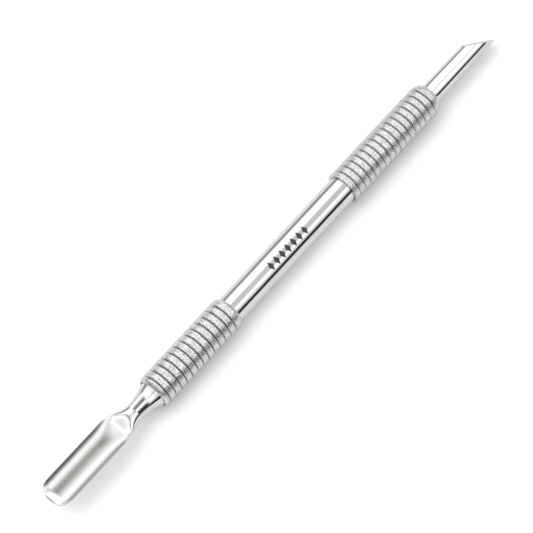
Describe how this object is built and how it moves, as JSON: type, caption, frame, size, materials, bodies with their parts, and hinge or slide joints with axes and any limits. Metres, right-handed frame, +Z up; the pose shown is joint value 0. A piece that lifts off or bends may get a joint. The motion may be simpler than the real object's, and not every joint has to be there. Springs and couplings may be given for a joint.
{
  "type": "cuticle pusher",
  "caption": "Slim double-ended metal nail tool with a shallow U-shaped spoon pusher, ringed grip sleeves on a polished tube, and a slant-cut scraper point.",
  "frame": {"origin": "on the surface that the tool lies on, under the middle of its length", "axes": "+X along the tool from the spoon pusher to the scraper point, +Y to the left seen from above, +Z up, with the bowl of the spoon facing up"},
  "size_m": [0.13, 0.0072, 0.0071],
  "materials": {
    "polished_steel": "mirror polished",
    "knurled_steel": "bright, ringed and finely knurled",
    "plain_steel": "as turned"
  },
  "bodies": {
    "root": {"handle_tube": "polished_steel", "spoon_grip_sleeve": "knurled_steel", "scraper_grip_sleeve": "knurled_steel", "spoon_tip": "polished_steel", "scraper_tip": "polished_steel", "spoon_tang_bush": "plain_steel", "scraper_tang_bush": "plain_steel"}
  },
  "joints": []
}
